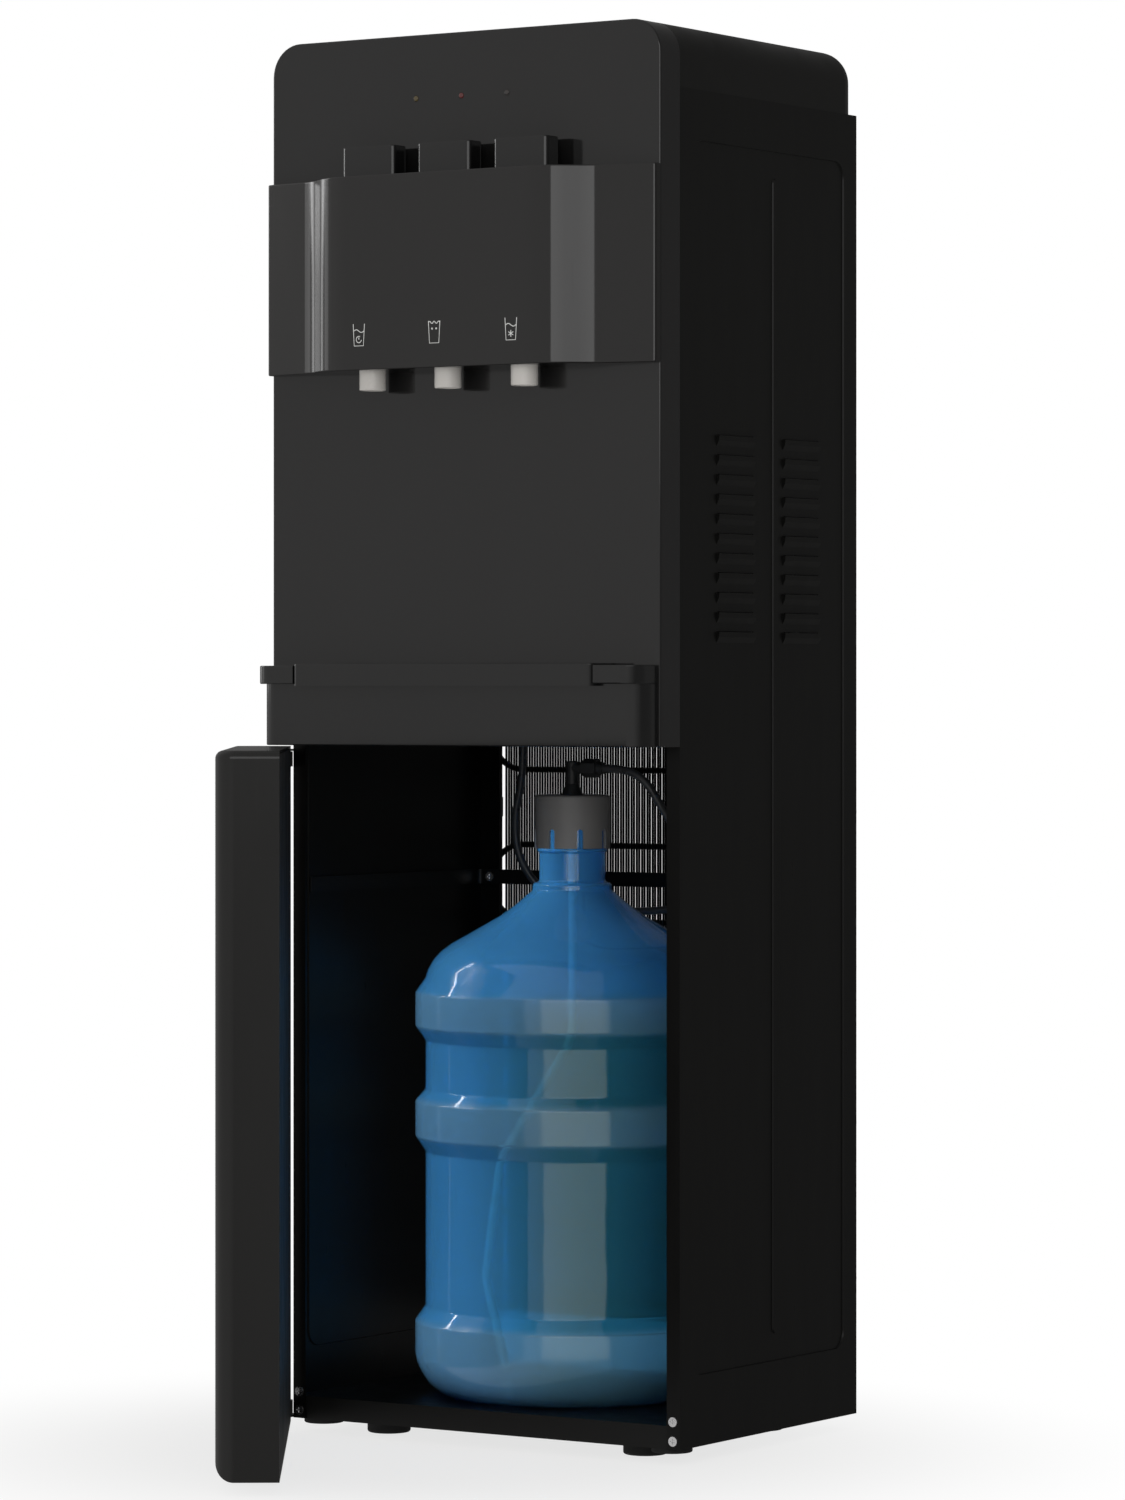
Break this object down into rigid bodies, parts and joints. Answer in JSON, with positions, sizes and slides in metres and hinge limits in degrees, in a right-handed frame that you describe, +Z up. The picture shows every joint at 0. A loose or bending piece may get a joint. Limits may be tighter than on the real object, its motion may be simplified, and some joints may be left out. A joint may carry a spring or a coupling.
{
  "type": "water dispenser",
  "caption": "Floor-standing water dispenser with push-button taps, a drip tray and a hinged door over a bottle space with a probe, hose and bottle.",
  "frame": {"origin": "on the floor, under the centre of the bounding box with the door at rest", "axes": "+Z up, -Y out of the front face with the taps, +X to the right as seen from the front; the door hangs on the -X side"},
  "size_m": [0.4001, 0.6033, 1.112],
  "materials": {
    "black_gloss": "high gloss",
    "black_plastic": "satin",
    "black_paint": "satin",
    "tap_white": "satin",
    "button_black": "gloss",
    "steel": "brushed",
    "zinc": "bright",
    "rubber": "matte",
    "grey_plastic": "satin",
    "dark_grey_plastic": "satin",
    "hose": "satin",
    "bottle_blue": "clear blue",
    "lens": "clear",
    "board_green": "satin",
    "insulation": "rough",
    "copper": "satin",
    "white_plastic": "satin",
    "silicone": "satin",
    "galvanised": "satin"
  },
  "bodies": {
    "cabinet": {"back_panel": "galvanised", "base_pan": "black_paint", "button_spring_left": "steel", "button_spring_middle": "steel", "button_spring_right": "steel", "cabinet_screws": "zinc", "cold_tank": "steel", "cold_tank_jacket": "insulation", "compartment_brace": "black_paint", "compressor": "black_paint", "compressor_mounts": "rubber", "condenser_clips": "black_plastic", "condenser_tube": "black_paint", "condenser_wires": "black_paint", "control_board": "board_green", "cord_inlet": "black_plastic", "corner_glides": "rubber", "deck_fitting": "dark_grey_plastic", "dip_tube": "white_plastic", "drain_caps": "white_plastic", "evaporator_coil": "copper", "front_panel": "black_gloss", "hinge_brackets": "black_paint", "hinge_pins": "steel", "hinge_screws": "zinc", "hot_tank": "steel", "hot_tank_jacket": "insulation", "indicator_board": "board_green", "indicator_lenses": "lens", "mid_deck": "galvanised", "nozzles": "tap_white", "probe_cap": "grey_plastic", "probe_elbow": "dark_grey_plastic", "rubber_feet": "rubber", "side_panel_left": "black_paint", "side_panel_right": "black_paint", "supply_pipe": "silicone", "switch_housings": "black_plastic", "tap_bodies": "white_plastic", "tap_cover": "black_gloss", "tap_pipes": "silicone", "top_cover": "black_plastic", "tray_shelf": "black_gloss", "tray_skirt": "black_gloss", "water_bottle": "bottle_blue", "water_hose": "hose", "water_manifold": "white_plastic", "water_pump": "white_plastic"},
    "door": {"door_shell": "black_gloss", "door_liner": "black_plastic", "door_magnet": "rubber", "hinge_bushes": "black_plastic"},
    "left_button": {"button_left": "button_black"},
    "middle_button": {"button_middle": "button_black"},
    "right_button": {"button_right": "button_black"},
    "drip_tray": {"drip_tray": "black_gloss"},
    "drip_grille": {"drip_grille": "black_plastic"},
    "cooling_switch": {"cooling_rocker": "button_black"},
    "heating_switch": {"heating_rocker": "button_black"}
  },
  "joints": [
    {"name": "door_hinge", "type": "hinge", "parent": "cabinet", "child": "door", "pos_m": [-0.1674, 0.014, 0.281], "axis": [0, 0, -1], "range_deg": [-55.5, 54.5]},
    {"name": "left_button_press", "type": "slide", "parent": "cabinet", "child": "left_button", "axis": [0, 0, -1], "range_m": [0, 0.007], "stiffness_N_per_m": 300, "springref_m": -0.005, "deforming": ["button_spring_left"]},
    {"name": "middle_button_press", "type": "slide", "parent": "cabinet", "child": "middle_button", "axis": [0, 0, -1], "range_m": [0, 0.007], "stiffness_N_per_m": 300, "springref_m": -0.005, "deforming": ["button_spring_middle"]},
    {"name": "right_button_press", "type": "slide", "parent": "cabinet", "child": "right_button", "axis": [0, 0, -1], "range_m": [0, 0.007], "stiffness_N_per_m": 300, "springref_m": -0.005, "deforming": ["button_spring_right"]},
    {"name": "drip_tray_slide", "type": "slide", "parent": "cabinet", "child": "drip_tray", "axis": [0, -1, 0], "range_m": [0, 0.05]},
    {"name": "drip_grille_lift", "type": "slide", "parent": "drip_tray", "child": "drip_grille", "axis": [0, 0, 1], "range_m": [0, 0.03]},
    {"name": "cooling_switch_rock", "type": "hinge", "parent": "cabinet", "child": "cooling_switch", "pos_m": [0.1291, 0.2855, 0.7], "axis": [1, 0, 0], "range_deg": [0, 20]},
    {"name": "heating_switch_rock", "type": "hinge", "parent": "cabinet", "child": "heating_switch", "pos_m": [0.1591, 0.2855, 0.7], "axis": [1, 0, 0], "range_deg": [0, 20]}
  ]
}
